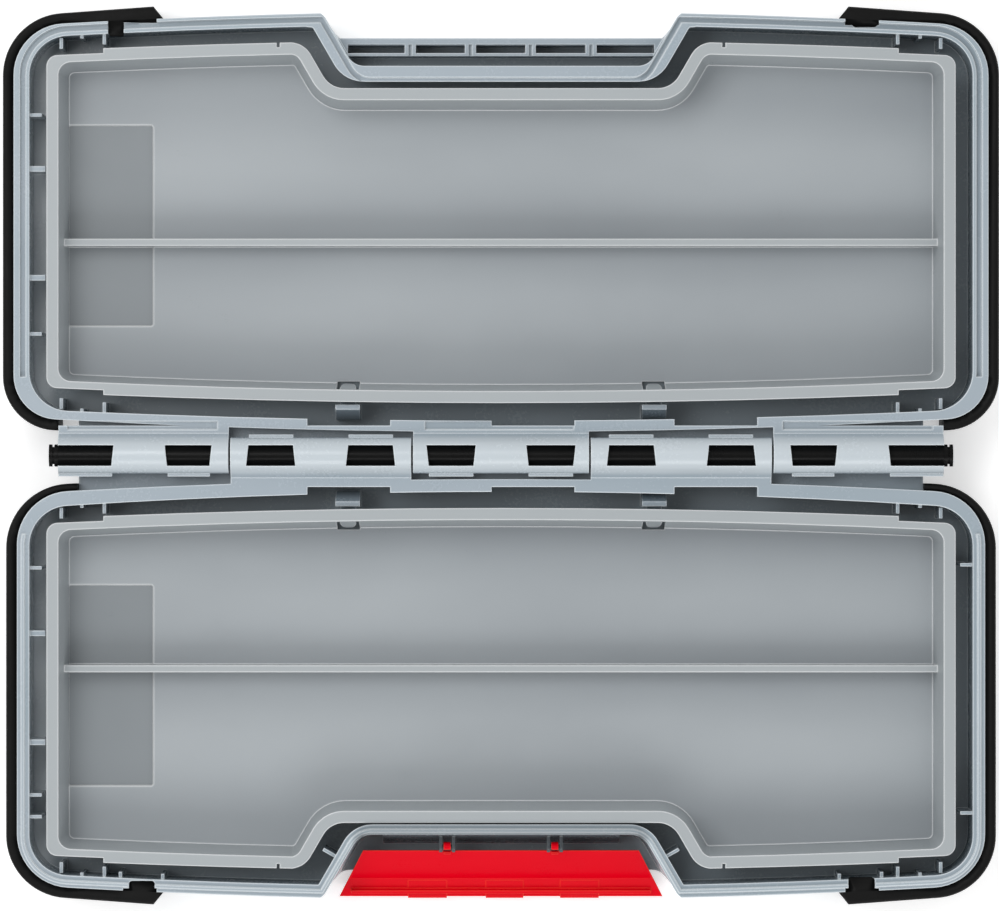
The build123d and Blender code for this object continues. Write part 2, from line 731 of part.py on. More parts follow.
def tray(side):
    """Thin tray with a standing-out rim, sloping walls, one long divider and a recessed pad."""
    bottom = floor_thickness + tray_seat_gap
    deck = bottom + tray_floor
    rim_low = tray_top - tray_rim_thickness
    rise(tray_rim_plan(side), rim_low, tray_top)
    sink(tray_plan(side, tray_rim_lip, tray_corner), rim_low, bottom, Mode.ADD, tray_wall_draft)
    sink(tray_plan(side, tray_rim_width, tray_inner_corner), tray_top + skin, deck,
         Mode.SUBTRACT, tray_inner_draft)
    with BuildSketch() as pad:
        add(box_plan(side, -pad_outer, -pad_inner, pad_near, pad_far))
        fillet(pad.vertices(), pad_corner)
    rise(pad.sketch, deck - pad_recess, deck + skin, Mode.SUBTRACT)
    edge = tray_half_width - tray_rim_width - sunk
    near, far = divider_depth - divider_width / 2, divider_depth + divider_width / 2
    rise(box_plan(side, -edge, edge, near, far), deck - sunk / 2, deck + divider_height)
    rise(box_plan(side, -pad_outer, -pad_inner, near, far), deck - pad_recess - sunk / 2, deck)
    for end in (-1, 1):
        middle = end * snap_place
        window = box_plan(side, middle - snap_window_half_width, middle + snap_window_half_width,
                          0, snap_window_depth)
        rise(window, 0, rim_low, Mode.SUBTRACT)
        add(springy_tongue(side, end))


def bumper_block(side, end):
    """Bumper before it is hollowed, with bevelled outer edges."""
    top = rim_top - bumper_top_gap
    with BuildPart(mode=Mode.PRIVATE) as block:
        rise(bumper_plan(side, end), 0, top)
        level = [e for e in block.edges() if abs(e.center().Z) < skin or abs(e.center().Z - top) < skin]
        side_face = hollow_half_width
        outer = [e for e in level
                 if abs(e.center().X) > side_face or abs(e.center().Y) > hollow_front
                 or abs(e.center().Y) < bumper_rear_depth[side] + skin]
        chamfer(outer, bumper_edge)
    return block.part


def bumper(side, end):
    """Rubber bumper: a skin round the rim, a thicker skin below it, a foot and a key."""
    top = rim_top - bumper_top_gap
    flange_low = rim_top - rim_height - bumper_fit
    add(bumper_block(side, end))
    rise(rim_plan(side, -bumper_fit), flange_low, top + 1, Mode.SUBTRACT)
    rise(rim_plan(side, flange_overhang - bumper_fit, rear_overhang - bumper_fit),
         bumper_foot_thickness, flange_low, Mode.SUBTRACT)
    rise(rim_plan(side, flange_overhang + bumper_foot), -1, bumper_foot_thickness, Mode.SUBTRACT)
    rise(key_plan(side, end), flange_low, top - key_drop)


def leaning(angle):
    """Spot function of a plate that leans at an angle: u along the plate, n towards its outer face."""
    lean = radians(angle)
    along = (cos(lean), sin(lean))
    out = (sin(lean), -cos(lean))
    return lambda u, n: (along[0] * u + out[0] * n, along[1] * u + out[1] * n)


def turned(points):
    """Turn points of the closed pose down to the rest pose and put them at the pivot."""
    turn = radians(-(latch_closed_angle + latch_open_angle))
    result = []
    for p, q in points:
        depth = pivot_depth + p * cos(turn) - q * sin(turn)
        result.append((BASE * depth, pivot_height + p * sin(turn) + q * cos(turn)))
    return result


def latch_plate_and_lip():
    """Section of the latch in its closed pose round its pivot: away from the base along p, up along q."""
    spot = leaning(latch_closed_angle)
    lean = radians(latch_closed_angle)
    inner = latch_inner_offset
    outer = latch_inner_offset + latch_plate
    back = latch_face + latch_plate
    tip = back + latch_lip_reach
    crown = latch_grip + latch_crown
    inner_bend = (latch_face - sin(lean) * inner) / cos(lean)
    outer_bend = (back - sin(lean) * outer) / cos(lean)
    upright_end = latch_start + latch_plate * tan(radians(latch_open_angle))
    return [
        spot(latch_start, inner), spot(inner_bend, inner), (latch_face, latch_grip),
        (latch_face + latch_crown_lean, crown), (back + latch_crown_lean, crown + latch_crown_lean),
        (tip, crown - latch_lip_drop), (tip, crown - latch_lip_drop - latch_lip_thickness),
        (back, latch_grip - latch_lip_root), spot(outer_bend, outer), spot(upright_end, outer),
    ]


def latch_hook():
    """Section of the hook that grips the catch bar, in the closed pose."""
    tip = latch_face - latch_hook_overlap - latch_clearance
    return [
        (latch_face + sunk, latch_grip), (tip, latch_grip),
        (tip + 0.2, latch_grip + latch_hook_thickness),
        (latch_face + sunk, latch_grip + latch_hook_thickness + 0.3),
    ]


def latch_pad():
    """Section of the grip pads that stand proud of the lip, in the closed pose."""
    lean = radians(latch_closed_angle)
    bend = (latch_face - sin(lean) * latch_inner_offset) / cos(lean)
    low = sin(lean) * bend - cos(lean) * latch_inner_offset + latch_pad_start
    near = latch_face - latch_pad_rise
    back = latch_face + latch_plate
    crown = latch_grip + latch_crown + latch_pad_overhang
    return [
        (near, low), (near, crown - latch_crown_lean), (latch_face + latch_crown_lean, crown),
        (back + latch_crown_lean, crown + latch_crown_lean), (back + latch_lip_reach / 2, crown),
        (back + latch_lip_reach / 2, latch_grip), (latch_face + sunk, low),
    ]


def latch_clip(centre):
    """Open clip that snaps over one pivot pin, with the bridge to the plate."""
    low, high = centre - clip_width / 2, centre + clip_width / 2
    spot = leaning(-latch_open_angle)

    def pivot_spot(u, n):
        away, up = spot(u, n)
        return (BASE * (pivot_depth + away), pivot_height + up)

    for radius, mode in ((clip_radius, Mode.ADD), (pivot_pin_radius + pivot_clearance, Mode.SUBTRACT)):
        if mode == Mode.SUBTRACT:
            outer = latch_inner_offset + latch_plate
            bridge = [pivot_spot(0, 0.2), pivot_spot(latch_start + sunk, -0.3),
                      pivot_spot(latch_start + sunk, latch_inner_offset + sunk),
                      pivot_spot(latch_start, outer - sunk), pivot_spot(0, clip_radius)]
            section(bridge, low, high)
        with BuildSketch(Plane.YZ.offset(low)) as ring:
            with Locations((BASE * pivot_depth, pivot_height)):
                Circle(radius)
        extrude(ring.sketch, amount=clip_width, mode=mode)
    half = clip_mouth / 2
    mouth = [pivot_spot(-half, 0), pivot_spot(half, 0),
             pivot_spot(half, -2 * clip_radius), pivot_spot(-half, -2 * clip_radius)]
    section(mouth, low, high, Mode.SUBTRACT)


def latch_trim(end):
    """Cut one slanting end of the latch, lying open."""
    near, far = pivot_depth - 5, pivot_depth + 18
    with BuildSketch() as trim:
        with BuildLine():
            Polyline(
                (end * latch_half_width, BASE * near),
                (end * latch_half_width, BASE * pivot_depth),
                (end * (latch_half_width + latch_flare * (far - pivot_depth)), BASE * far),
                (end * latch_longest, BASE * far),
                (end * latch_longest, BASE * near),
                close=True,
            )
        make_face()
    rise(trim.sketch, -1, half_height + beyond, Mode.SUBTRACT)


with BuildPart() as base_shell:
    shell_body(BASE)
    notch_wall()
    channel_ribs(BASE)
    tray_posts(BASE)
    knuckles(BASE, (1, 3))
    rise(seal_plan(BASE, tongue_width), rim_top - 0.5, rim_top + tongue_height)
    pivot_ears()
    bumper_rebates(BASE)

with BuildPart() as lid_shell:
    shell_body(LID)
    catch()
    channel_ribs(LID)
    tray_posts(LID)
    knuckles(LID, (0, 2, 4))
    rise(seal_plan(LID, tongue_width + 2 * groove_clearance), rim_top - tongue_height - 0.5,
         rim_top + 1, Mode.SUBTRACT)
    for low, high in lid_pocket_spans:
        rise(box_plan(LID, low, high, lid_pocket_near, lid_pocket_far), rim_top - lid_pocket_depth,
             half_height, Mode.SUBTRACT)
    bumper_rebates(LID)

with BuildPart() as base_tray:
    tray(BASE)

with BuildPart() as lid_tray:
    tray(LID)

with BuildPart() as base_bumper_left:
    bumper(BASE, -1)

with BuildPart() as base_bumper_right:
    bumper(BASE, 1)

with BuildPart() as lid_bumper_left:
    bumper(LID, -1)

with BuildPart() as lid_bumper_right:
    bumper(LID, 1)

with BuildPart() as hinge_pin:
    reach = knuckle_edges[-1] + pin_head_gap
    with BuildSketch(Plane.YZ.offset(-reach)) as rod:
        with Locations((0, half_height)):
            Circle(pin_radius)
    extrude(rod.sketch, amount=2 * reach)
    for end in (-1, 1):
        start = reach
        for radius, length in ((pin_head_radius, pin_head_length / 2),
                               (pin_neck_radius, pin_neck_length),
                               (pin_head_radius, pin_head_length / 2)):
            with BuildSketch(Plane.YZ.offset(min(end * start, end * (start + length)))) as disc:
                with Locations((0, half_height)):
                    Circle(radius)
            extrude(disc.sketch, amount=length)
            start += length

with BuildPart() as latch:
    section(turned(latch_plate_and_lip()), -latch_longest + 1, latch_longest - 1)
    for end in (-1, 1):
        latch_trim(end)
    section(turned(latch_hook()), -latch_hook_half_width, latch_hook_half_width)
    for low, high in latch_pad_spans:
        section(turned(latch_pad()), low, high)
    for centre in (-clip_place, clip_place):
        latch_clip(centre)

os.makedirs("parts", exist_ok=True)
pieces = {
    "base_shell": base_shell, "lid_shell": lid_shell, "base_tray": base_tray, "lid_tray": lid_tray,
    "base_bumper_left": base_bumper_left, "base_bumper_right": base_bumper_right,
    "lid_bumper_left": lid_bumper_left, "lid_bumper_right": lid_bumper_right,
    "hinge_pin": hinge_pin, "latch": latch,
}
for name, piece in pieces.items():
    piece.part.label = name
    export_step(piece.part, f"parts/{name}.step")
    print(name, len(piece.part.solids()), round(piece.part.volume), piece.part.bounding_box())
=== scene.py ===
"""Looks of a blade accessory case that lies open flat, with the insides of both halves up."""

import logging
import math
from dataclasses import dataclass
from enum import Enum

import bpy
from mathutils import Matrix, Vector


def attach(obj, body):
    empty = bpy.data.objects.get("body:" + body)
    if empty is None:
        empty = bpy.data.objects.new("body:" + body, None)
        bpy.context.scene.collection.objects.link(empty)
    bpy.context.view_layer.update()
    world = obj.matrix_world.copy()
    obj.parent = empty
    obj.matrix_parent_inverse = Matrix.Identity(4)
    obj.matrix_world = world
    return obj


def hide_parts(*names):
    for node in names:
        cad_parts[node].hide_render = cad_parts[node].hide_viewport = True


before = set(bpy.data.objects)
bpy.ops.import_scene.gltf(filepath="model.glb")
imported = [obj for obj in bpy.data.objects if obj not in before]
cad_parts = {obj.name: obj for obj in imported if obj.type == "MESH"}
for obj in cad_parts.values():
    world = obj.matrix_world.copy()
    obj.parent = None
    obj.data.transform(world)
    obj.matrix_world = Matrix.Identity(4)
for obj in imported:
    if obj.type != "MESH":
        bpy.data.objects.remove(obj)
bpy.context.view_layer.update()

MM = 0.001
LOG = logging.getLogger("accessory_case")
WHITE = (1.0, 1.0, 1.0, 1.0)

# The sRGB curve: a straight toe, then a power
TOE_END, TOE_SLOPE = 0.04045, 12.92
CURVE_OFFSET, CURVE_POWER = 0.055, 2.4

# The Mix node's sockets by number, because its data types share their names
MIX_SHARE, VALUE_A, VALUE_B, COLOUR_A, COLOUR_B = 0, 2, 3, 6, 7
MIXED_VALUE, MIXED_COLOUR = 0, 2

# Wear is rubbed spots, four to a cloud, with some of the grain. Noise past its range is clipped
SPOTS_PER_CLOUD = 4
GRAIN_IN_WEAR = 0.45
WEAR_LOW, WEAR_HIGH = 0.3, 0.7
# Noise between which the plastic turns from its own colour to its clouds'
CLOUD_LOW, CLOUD_HIGH = 0.35, 0.65


class Body(Enum):
    """The bodies of the two halves."""

    BASE = "base"
    LID = "lid"


class Slot(Enum):
    """Material slot name that each piece built here carries."""

    RUBBER = "bumper_rubber"


def linear(colour: str) -> tuple[float, float, float, float]:
    """Turn an sRGB hex colour into linear RGBA.

    Args:
        colour: Six hex digits, with or without a leading hash.

    Returns:
        Linear red, green, blue and an alpha of one.
    """
    digits = colour.lstrip("#")
    channels = []
    for start in (0, 2, 4):
        value = int(digits[start : start + 2], 16) / 255
        if value <= TOE_END:
            channels.append(value / TOE_SLOPE)
        else:
            channels.append(((value + CURVE_OFFSET) / (1 + CURVE_OFFSET)) ** CURVE_POWER)
    return (channels[0], channels[1], channels[2], 1.0)


def per_mm(size: float) -> float:
    """Texture scale whose features are the given number of millimetres apart."""
    return 1.0 / (size * MM)


class Graph:
    """A material's node tree, with one way of adding a node."""

    def __init__(self, name: str) -> None:
        """Start an empty node material.

        Args:
            name: The material's name.
        """
        self.material = bpy.data.materials.new(name)
        self.material.use_nodes = True
        self.tree = self.material.node_tree
        self.tree.nodes.clear()

    def add(self, kind: str, inputs: dict[str | int, object] | None = None,
            **settings: object) -> bpy.types.Node:
        """Add a node with its settings, and set or link its inputs.

        Args:
            kind: Blender's node type without its ShaderNode prefix.
            inputs: Socket name or number to a value, or to the socket that feeds it.
            **settings: Node properties to set first.

        Returns:
            The new node.
        """
        node = self.tree.nodes.new("ShaderNode" + kind)
        for name, value in settings.items():
            setattr(node, name, value)
        for name, value in (inputs or {}).items():
            if isinstance(value, bpy.types.NodeSocket):
                self.tree.links.new(value, node.inputs[name])
            else:
                node.inputs[name].default_value = value
        return node

    def finish(self, surface: bpy.types.NodeSocket) -> bpy.types.Material:
        """Link the surface to the output and return the material."""
        self.add("OutputMaterial", {"Surface": surface})
        return self.material


@dataclass(frozen=True)
class ToneStep:
    """Painted light and shade: colour that a moulding turns to along an axis, from none at start
    to all at full, in mm.
    """

    axis: str
    start: float
    full: float
    colour: str

    def turn(self, graph: Graph, split: bpy.types.Node, before: bpy.types.NodeSocket | tuple,
             after: bpy.types.NodeSocket | tuple) -> bpy.types.NodeSocket:
        """Turn one colour to another over the step, as painted light and shade.

        Args:
            graph: The material's node tree.
            split: The node that separates Object coordinates.
            before: The colour short of start.
            after: The colour beyond full.

        Returns:
            The colour socket.
        """
        share = graph.add("MapRange", {"Value": split.outputs[self.axis],
                                       "From Min": self.start * MM,
                                       "From Max": self.full * MM},
                          interpolation_type="SMOOTHSTEP")
        turned = graph.add("Mix", {MIX_SHARE: share.outputs["Result"], COLOUR_A: before,
                                   COLOUR_B: after}, data_type="RGBA")
        return turned.outputs[MIXED_COLOUR]


@dataclass(frozen=True)
class ReflectionBands:
    """Broad bands along a tray beside the divider, painted reflections of the soft boxes, in mm.

    They lie apart from each other on both sides of the hinge, one of them at peak from it, and
    have this share in the tone beside the clouds.
    """

    apart: float = 40.0
    peak: float = 38.0
    share: float = 0.6

    def paint_reflections(self, graph: Graph, split: bpy.types.Node,
            clouds: bpy.types.NodeSocket) -> bpy.types.NodeSocket:
        """Lay the painted reflection bands among the clouds.

        Args:
            graph: The material's node tree.
            split: The node that separates Object coordinates.
            clouds: The clouds' share of their colour.

        Returns:
            The share of the clouds' colour, which is least on a band.
        """
        turn = 2 * math.pi / (self.apart * MM)
        swing = 0.5
        depth = graph.add("Math", {0: split.outputs["Y"]}, operation="ABSOLUTE")
        phase = graph.add("Math", {0: depth.outputs[0], 1: turn, 2: -turn * self.peak * MM},
                          operation="MULTIPLY_ADD")
        wave = graph.add("Math", {0: phase.outputs[0]}, operation="COSINE")
        between = graph.add("Math", {0: wave.outputs[0], 1: -swing, 2: swing},
                            operation="MULTIPLY_ADD")
        mixed = graph.add("Mix", {MIX_SHARE: self.share, VALUE_A: clouds,
                                  VALUE_B: between.outputs[0]})
        return mixed.outputs[MIXED_VALUE]


@dataclass(frozen=True)
class RoundedEdge:
    """Rounding of a moulding's edges, and the share of a painted highlight colour that shows on
    them.

    The painted highlight begins and is full where the rounding turns the normal by an angle of
    these cosines.
    """

    round_mm: float
    colour: str
    share: float
    begin_cosine: float = 0.998
    full_cosine: float = 0.9
    rays: int = 8

    def normal(self, graph: Graph) -> bpy.types.NodeSocket:
        """Normal of the surface with its edges rounded."""
        return graph.add("Bevel", {"Radius": self.round_mm * MM}, samples=self.rays).outputs[0]

    def paint_highlight(self, graph: Graph, rounded: bpy.types.NodeSocket,
             body: bpy.types.NodeSocket) -> bpy.types.NodeSocket:
        """Paint a highlight on the edges.

        Args:
            graph: The material's node tree.
            rounded: The normal that rounded edges have.
            body: The colour elsewhere.

        Returns:
            The colour socket.
        """
        flat = graph.add("NewGeometry").outputs["Normal"]
        likeness = graph.add("VectorMath", {0: rounded, 1: flat}, operation="DOT_PRODUCT")
        edge = graph.add("MapRange", {"Value": likeness.outputs["Value"],
                                      "From Min": self.begin_cosine,
                                      "From Max": self.full_cosine, "To Max": self.share})
        highlighted = graph.add("Mix", {MIX_SHARE: edge.outputs["Result"], COLOUR_A: body,
                                  COLOUR_B: linear(self.colour)}, data_type="RGBA")
        return highlighted.outputs[MIXED_COLOUR]


@dataclass(frozen=True)
class LatchNookShade:
    """Painted shade in the base's finger notch, for the shadow between its wall and the latch, in
    mm.

    The notch's crest lies this far in front of the hinge. The painted shade has crest_share
    within light_reach of it and dark_share from dark_reach on, and fades out behind it. It also
    fades out over the length of fade beyond half_width to the sides, and down to bottom.
    """

    crest: float = 100.1
    light_reach: float = 0.2
    dark_reach: float = 2.2
    crest_share: float = 0.35
    dark_share: float = 0.95
    half_width: float = 37.0
    fade: float = 3.0
    bottom: float = 5.0
    colour: str = "#2b3136"

    def shade(self, graph: Graph, split: bpy.types.Node,
              body: bpy.types.NodeSocket) -> bpy.types.NodeSocket:
        """Paint shade in the nook between the notch's crest and the latch.

        Args:
            graph: The material's node tree.
            split: The node that separates Object coordinates.
            body: The colour elsewhere.

        Returns:
            The colour socket.
        """
        off_crest = graph.add("Math", {0: split.outputs["Y"], 1: self.crest * MM})
        away = graph.add("Math", {0: off_crest.outputs[0]}, operation="ABSOLUTE")
        inward = graph.add("MapRange", {"Value": away.outputs[0],
                                        "From Min": self.light_reach * MM,
                                        "From Max": self.dark_reach * MM,
                                        "To Min": self.crest_share,
                                        "To Max": self.dark_share},
                           interpolation_type="SMOOTHSTEP")
        front = graph.add("MapRange", {"Value": split.outputs["Y"],
                                       "From Min": -(self.crest - self.dark_reach) * MM,
                                       "From Max": -(self.crest - self.light_reach) * MM})
        sideways = graph.add("Math", {0: split.outputs["X"]}, operation="ABSOLUTE")
        beside = graph.add("MapRange", {"Value": sideways.outputs[0],
                                        "From Min": (self.half_width + self.fade) * MM,
                                        "From Max": self.half_width * MM})
        high = graph.add("MapRange", {"Value": split.outputs["Z"], "From Min": self.bottom * MM,
                                      "From Max": (self.bottom + self.fade) * MM})
        there = graph.add("Math", {0: beside.outputs["Result"], 1: high.outputs["Result"]},
                          operation="MULTIPLY")
        within = graph.add("Math", {0: there.outputs[0], 1: front.outputs["Result"]},
                           operation="MULTIPLY")
        share = graph.add("Math", {0: inward.outputs["Result"], 1: within.outputs[0]},
                          operation="MULTIPLY")
        shaded = graph.add("Mix", {MIX_SHARE: share.outputs[0], COLOUR_A: body,
                                   COLOUR_B: linear(self.colour)}, data_type="RGBA")
        return shaded.outputs[MIXED_COLOUR]


@dataclass(frozen=True)
class MouldedPlastic:
    """Injection-moulded plastic: fine tool grain, clouds of tone along the part and rubbed spots.

    Its colour turns to cloud_colour in the clouds, to the deep step's low as painted shade in the
    moulding, where the end step's shows beyond one end and the top step's above, both as painted
    light. A tool's grain is about 0.1 mm, too fine to show at this distance, so grain_mm draws it
    coarser.
    """

    name: str
    colour: str
    cloud_colour: str
    roughness: float
    grain_depth_mm: float
    deep: ToneStep | None = None
    end: ToneStep | None = None
    top: ToneStep | None = None
    bands: ReflectionBands | None = None
    edges: RoundedEdge | None = None
    nook: LatchNookShade | None = None
    roughness_spread: float = 0.1
    ior: float = 1.49
    specular: float = 0.5
    grain_mm: float = 0.35
    cloud_mm: float = 38.0
    cloud_stretch: float = 0.4
    sink_mm: float = 60.0
    sink_depth_mm: float = 0.0

    def make(self) -> bpy.types.Material:
        """Build the node material.

        Returns:
            The material, reading Object coordinates in metres.
        """
        graph = Graph(self.name)
        place = graph.add("TexCoord").outputs["Object"]
        rounded = self.edges.normal(graph) if self.edges else None
        body = self.body_colour(graph, place, rounded)
        grain = graph.add("TexNoise", {"Vector": place, "Scale": per_mm(self.grain_mm),
                                       "Detail": 2.0, "Roughness": 0.6})
        rubbed = graph.add("TexNoise", {"Vector": place,
                                        "Scale": per_mm(self.cloud_mm / SPOTS_PER_CLOUD),
                                        "Detail": 4.0, "Roughness": 0.6})
        wear = graph.add("Mix", {MIX_SHARE: GRAIN_IN_WEAR, VALUE_A: rubbed.outputs["Fac"],
                                 VALUE_B: grain.outputs["Fac"]})
        rough = graph.add("MapRange", {"Value": wear.outputs[MIXED_VALUE],
                                       "From Min": WEAR_LOW, "From Max": WEAR_HIGH,
                                       "To Min": self.roughness - self.roughness_spread,
                                       "To Max": self.roughness + self.roughness_spread})
        shader = graph.add("BsdfPrincipled", {
            "Base Color": body,
            "Roughness": rough.outputs["Result"],
            "Normal": self.relief(graph, place, grain.outputs["Fac"], rounded),
            "IOR": self.ior,
            "Specular IOR Level": self.specular,
        })
        return graph.finish(shader.outputs["BSDF"])

    def body_colour(self, graph: Graph, place: bpy.types.NodeSocket,
                    rounded: bpy.types.NodeSocket | None) -> bpy.types.NodeSocket:
        """Colour with clouds, the steps of painted light and shade, and the painted edge
        highlights and nook shade over them.

        Args:
            graph: The material's node tree.
            place: Object coordinates.
            rounded: The normal that rounded edges have, if the finish has any.

        Returns:
            The colour socket.
        """
        # Clouds of lighter and darker tone stretched along the part; on the tray they are painted
        # reflections of the soft boxes
        stretched_place = graph.add("Mapping", {"Vector": place, "Scale": (self.cloud_stretch, 1.0, 1.0)})
        clouds = graph.add("TexNoise", {"Vector": stretched_place.outputs[0], "Scale": per_mm(self.cloud_mm),
                                        "Detail": 3.0, "Roughness": 0.45})
        cloudy = graph.add("MapRange", {"Value": clouds.outputs["Fac"], "From Min": CLOUD_LOW,
                                        "From Max": CLOUD_HIGH}, interpolation_type="SMOOTHSTEP")
        split = graph.add("SeparateXYZ", {"Vector": place})
        tone = cloudy.outputs["Result"]
        # Bands of painted reflection along the tray
        if self.bands:
            tone = self.bands.paint_reflections(graph, split, tone)
        whole = graph.add("Mix", {MIX_SHARE: tone, COLOUR_A: linear(self.colour),
                                  COLOUR_B: linear(self.cloud_colour)},
                          data_type="RGBA").outputs[MIXED_COLOUR]
        # Painted shade down in the moulding, with painted light beyond one end
        if self.deep:
            low = linear(self.deep.colour)
            if self.end:
                low = self.end.turn(graph, split, low, linear(self.end.colour))
            whole = self.deep.turn(graph, split, whole, low)
        # Painted light above the top step
        if self.top:
            whole = self.top.turn(graph, split, whole, linear(self.top.colour))
        # Painted highlights on the rounded edges
        if self.edges:
            whole = self.edges.paint_highlight(graph, rounded, whole)
        # Painted shade in the latch nook
        if self.nook:
            whole = self.nook.shade(graph, split, whole)
        return whole

    def relief(self, graph: Graph, place: bpy.types.NodeSocket, grain: bpy.types.NodeSocket,
               rounded: bpy.types.NodeSocket | None) -> bpy.types.NodeSocket:
        """Tool grain over broad sink marks, on edges that are rounded a little.

        Args:
            graph: The material's node tree.
            place: Object coordinates.
            grain: The grain's height.
            rounded: The normal that rounded edges have, if the finish has any.

        Returns:
            The normal socket.
        """
        inputs = {"Height": grain, "Strength": 0.5, "Distance": self.grain_depth_mm * MM}
        under = rounded
        if self.sink_depth_mm > 0:
            sinks = graph.add("TexNoise", {"Vector": place, "Scale": per_mm(self.sink_mm),
                                           "Detail": 1.0})
            sink_inputs = {"Height": sinks.outputs["Fac"], "Strength": 1.0,
                           "Distance": self.sink_depth_mm * MM}
            if under is not None:
                sink_inputs["Normal"] = under
            under = graph.add("Bump", sink_inputs).outputs["Normal"]
        if under is not None:
            inputs["Normal"] = under
        return graph.add("Bump", inputs).outputs["Normal"]


# Smoky polypropylene, light grey-blue. Its deep step is painted shade down in the channels, its
# end step painted light in the channels beyond the left end, its top step painted light on the
# hinge barrels above the rim, its edges painted highlights, and its nook painted shade by the
# latch
SHELL_PLASTIC = MouldedPlastic(
    "smoky_polypropylene", colour="#a0abb4", cloud_colour="#98a5ae",
    deep=ToneStep("Z", 22.3, 2.0, "#939fa7"), end=ToneStep("X", -119.0, -124.0, "#f0f6fa"),
    top=ToneStep("Z", 23.2, 25.5, "#c0c9cf"), edges=RoundedEdge(0.6, "#e6eef2", 0.8),
    nook=LatchNookShade(), roughness=0.26, roughness_spread=0.04, specular=0.6, grain_mm=0.8,
    grain_depth_mm=0.001, sink_mm=30.0, sink_depth_mm=0.1)
# Milky polypropylene: paler, satin, with soft clouds and bands along the tray that are painted
# reflections of the soft boxes. Its recessed pads are painted shade, darker below the floor;
# above it the walls, divider and rim turn to one even tone as painted light, and its edges carry
# painted highlights
TRAY_PLASTIC = MouldedPlastic(
    "milky_polypropylene", colour="#a6acb0", cloud_colour="#91979c",
    deep=ToneStep("Z", 4.4, 3.75, "#868c90"), top=ToneStep("Z", 4.7, 8.0, "#a5abae"),
    bands=ReflectionBands(), edges=RoundedEdge(0.7, "#eef1f2", 0.75), roughness=0.36, cloud_mm=45.0,
    cloud_stretch=0.35, sink_depth_mm=0.1, grain_depth_mm=0.006)
# Thermoplastic rubber: black, satin, moulded in a sandblasted tool, with painted highlights on
# its edges
BUMPER_RUBBER = MouldedPlastic(
    "thermoplastic_rubber", colour="#0d0d0d", cloud_colour="#0b0b0b",
    edges=RoundedEdge(0.4, "#262626", 0.3), roughness=0.55, specular=0.14, grain_mm=0.5,
    grain_depth_mm=0.02)
# Black acetal rod: smooth and slightly shiny
PIN_PLASTIC = MouldedPlastic(
    "black_acetal", colour="#0b0b0b", cloud_colour="#090909", roughness=0.3, specular=0.12,
    grain_depth_mm=0.004)
# Red ABS: glossy from a polished tool, with painted highlights on its edges
LATCH_PLASTIC = MouldedPlastic(
    "red_abs", colour="#e4011c", cloud_colour="#de001a", edges=RoundedEdge(0.5, "#ff4a3c", 0.7),
    roughness=0.3, roughness_spread=0.06, grain_depth_mm=0.002, ior=1.53, specular=0.05)


@dataclass
class KeptPiece:
    """A CAD node whose form is right as it is, dressed in its own place."""

    node: str

    def dress(self, finish: bpy.types.Material) -> bpy.types.Object:
        """Give the node its finish.

        Args:
            finish: The material of the whole piece.

        Returns:
            The node's object.
        """
        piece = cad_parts[self.node]
        for place in piece.material_slots:
            place.material = finish
        LOG.info("%s: kept, %d faces", piece.name, len(piece.data.polygons))
        return piece


@dataclass
class Skin:
    """A CAD node's own surface, welded, with smooth shading over its bevels."""

    node: str
    body: Body
    slot: Slot
    weld_mm: float = 0.002
    smooth_angle: float = math.radians(50)
    flat_weight: int = 100

    def build(self, finish: bpy.types.Material) -> bpy.types.Object:
        """Copy the node, weld it, smooth it over its bevels and dress it.

        Args:
            finish: The material of the whole piece.

        Returns:
            The finished piece, riding on its body in place of the node.
        """
        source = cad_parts[self.node]
        piece = bpy.data.objects.new(self.node + "_skin", source.data.copy())
        bpy.context.scene.collection.objects.link(piece)
        activate(piece)
        bpy.ops.object.mode_set(mode="EDIT")
        bpy.ops.mesh.select_all(action="SELECT")
        bpy.ops.mesh.remove_doubles(threshold=self.weld_mm * MM)
        bpy.ops.object.mode_set(mode="OBJECT")
        bpy.ops.object.shade_smooth_by_angle(angle=self.smooth_angle)
        weigh = piece.modifiers.new("flat_faces_first", "WEIGHTED_NORMAL")
        weigh.keep_sharp = True
        weigh.weight = self.flat_weight
        bpy.ops.object.modifier_apply(modifier=weigh.name)
        piece.data.materials.clear()
        piece.data.materials.append(finish)
        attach(piece, self.body.value)
        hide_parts(self.node)
        LOG.info("%s: %d faces", piece.name, len(piece.data.polygons))
        return piece


def activate(piece: bpy.types.Object) -> None:
    """Select only this piece and make it active.

    Args:
        piece: The object that the next operators work on.
    """
    bpy.ops.object.select_all(action="DESELECT")
    piece.select_set(True)
    bpy.context.view_layer.objects.active = piece


@dataclass(frozen=True)
class Lamp:
    """Soft box that points at the middle of the case, in metres and watts."""

    name: str
    place: tuple[float, float, float]
    power: float
    width: float = 0.8
    height: float = 0.5

    def build(self) -> None:
        """Hang the soft box."""
        light = bpy.data.lights.new(self.name, "AREA")
        light.shape = "RECTANGLE"
        light.size = self.width
        light.size_y = self.height
        light.energy = self.power
        holder = bpy.data.objects.new(self.name, light)
        holder.location = self.place
        holder.rotation_euler = (-holder.location).to_track_quat("-Z", "Y").to_euler()
        bpy.context.scene.collection.objects.link(holder)


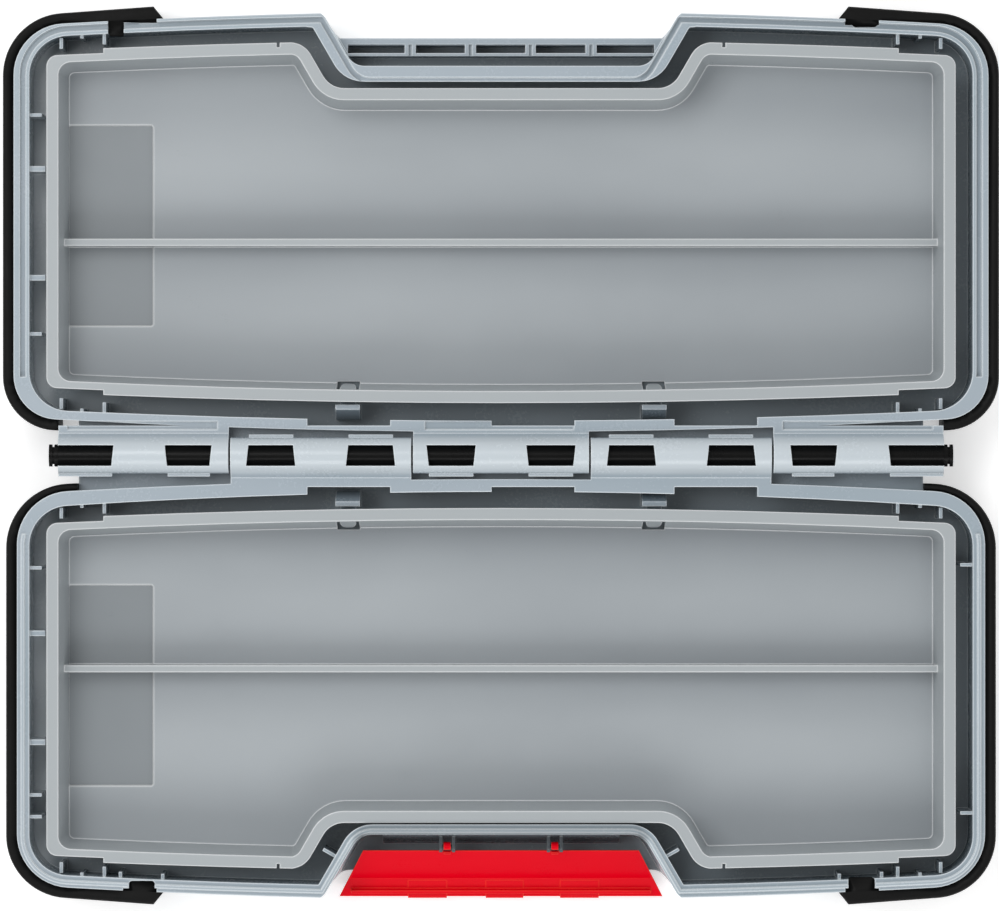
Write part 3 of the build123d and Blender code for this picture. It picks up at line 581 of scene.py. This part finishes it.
@dataclass
class Studio:
    """Pale floor, soft lamps, and a camera straight above with a long lens, in metres."""

    photo_width: int = 999
    mm_per_pixel: float = 0.267
    middle_mm: tuple[float, float, float] = (-0.4, 0.0, 22.0)
    camera_height: float = 2.0
    camera_reach: float = 20.0
    sensor_mm: float = 36.0
    floor_size: float = 6.0
    floor_drop_mm: float = 0.05
    floor_colour: str = "#f2f2f2"
    floor_lift: float = 0.42
    sky_low: float = 1.0
    sky_high: float = 0.5
    lamps: tuple[Lamp, ...] = (Lamp("key_box", (-0.42, 0.3, 1.2), 5.6),
                               Lamp("fill_box", (0.1, -0.85, 0.9), 3.2))

    def build(self) -> None:
        """Make the floor, the light and the camera."""
        self.make_floor()
        self.make_light()
        self.make_camera()

    def make_floor(self) -> None:
        """Pale floor that shows white to the camera and keeps the case's shadow."""
        bpy.ops.object.select_all(action="DESELECT")
        bpy.ops.mesh.primitive_plane_add(size=self.floor_size,
                                         location=(0, 0, -self.floor_drop_mm * MM))
        floor = bpy.context.object
        floor.name = "studio_floor"
        graph = Graph("white_studio_paper")
        seen = graph.add("LightPath")
        straight = graph.add("Math", {0: seen.outputs["Is Camera Ray"],
                                      1: seen.outputs["Is Glossy Ray"]}, operation="MAXIMUM")
        either = graph.add("Math", {0: straight.outputs[0],
                                    1: seen.outputs["Is Transmission Ray"]}, operation="MAXIMUM")
        lift = graph.add("Math", {0: either.outputs[0], 1: self.floor_lift}, operation="MULTIPLY")
        shader = graph.add("BsdfPrincipled", {"Base Color": linear(self.floor_colour),
                                              "Roughness": 0.9,
                                              "Emission Color": WHITE,
                                              "Emission Strength": lift.outputs[0]})
        floor.data.materials.append(graph.finish(shader.outputs["BSDF"]))

    def make_light(self) -> None:
        """White surroundings, brighter low down, a key lamp on the left and a fill in front."""
        world = bpy.data.worlds.new("studio_room")
        bpy.context.scene.world = world
        world.use_nodes = True
        tree = world.node_tree
        background = tree.nodes["Background"]
        background.inputs["Color"].default_value = WHITE
        direction = tree.nodes.new("ShaderNodeTexCoord")
        parts = tree.nodes.new("ShaderNodeSeparateXYZ")
        rise = tree.nodes.new("ShaderNodeMapRange")
        rise.inputs["To Min"].default_value = self.sky_low
        rise.inputs["To Max"].default_value = self.sky_high
        tree.links.new(direction.outputs["Generated"], parts.inputs["Vector"])
        tree.links.new(parts.outputs["Z"], rise.inputs["Value"])
        tree.links.new(rise.outputs["Result"], background.inputs["Strength"])
        for lamp in self.lamps:
            lamp.build()

    def make_camera(self) -> None:
        """Camera straight above, framed on the rims as the photograph is."""
        camera = bpy.data.cameras.new("photo_camera")
        width = self.photo_width * self.mm_per_pixel * MM
        camera.sensor_fit = "HORIZONTAL"
        camera.sensor_width = self.sensor_mm
        camera.lens = self.sensor_mm * self.camera_height / width
        camera.clip_end = self.camera_reach
        middle = Vector([along * MM for along in self.middle_mm])
        holder = bpy.data.objects.new("photo_camera", camera)
        holder.location = middle + Vector((0, 0, self.camera_height))
        bpy.context.scene.collection.objects.link(holder)
        bpy.context.scene.camera = holder


def main() -> None:
    """Build the case piece by piece, then the studio round it."""
    logging.basicConfig(level=logging.INFO, format="%(name)s: %(message)s")
    bpy.context.scene.view_settings.view_transform = "Standard"
    shell = SHELL_PLASTIC.make()
    tray = TRAY_PLASTIC.make()
    rubber = BUMPER_RUBBER.make()
    for body in (Body.BASE, Body.LID):
        KeptPiece(f"{body.value}_shell").dress(shell)
        KeptPiece(f"{body.value}_tray").dress(tray)
        for end in ("left", "right"):
            Skin(f"{body.value}_bumper_{end}", body, Slot.RUBBER).build(rubber)
    KeptPiece("hinge_pin").dress(PIN_PLASTIC.make())
    KeptPiece("latch").dress(LATCH_PLASTIC.make())
    Studio().build()


if __name__ == "__main__":
    main()
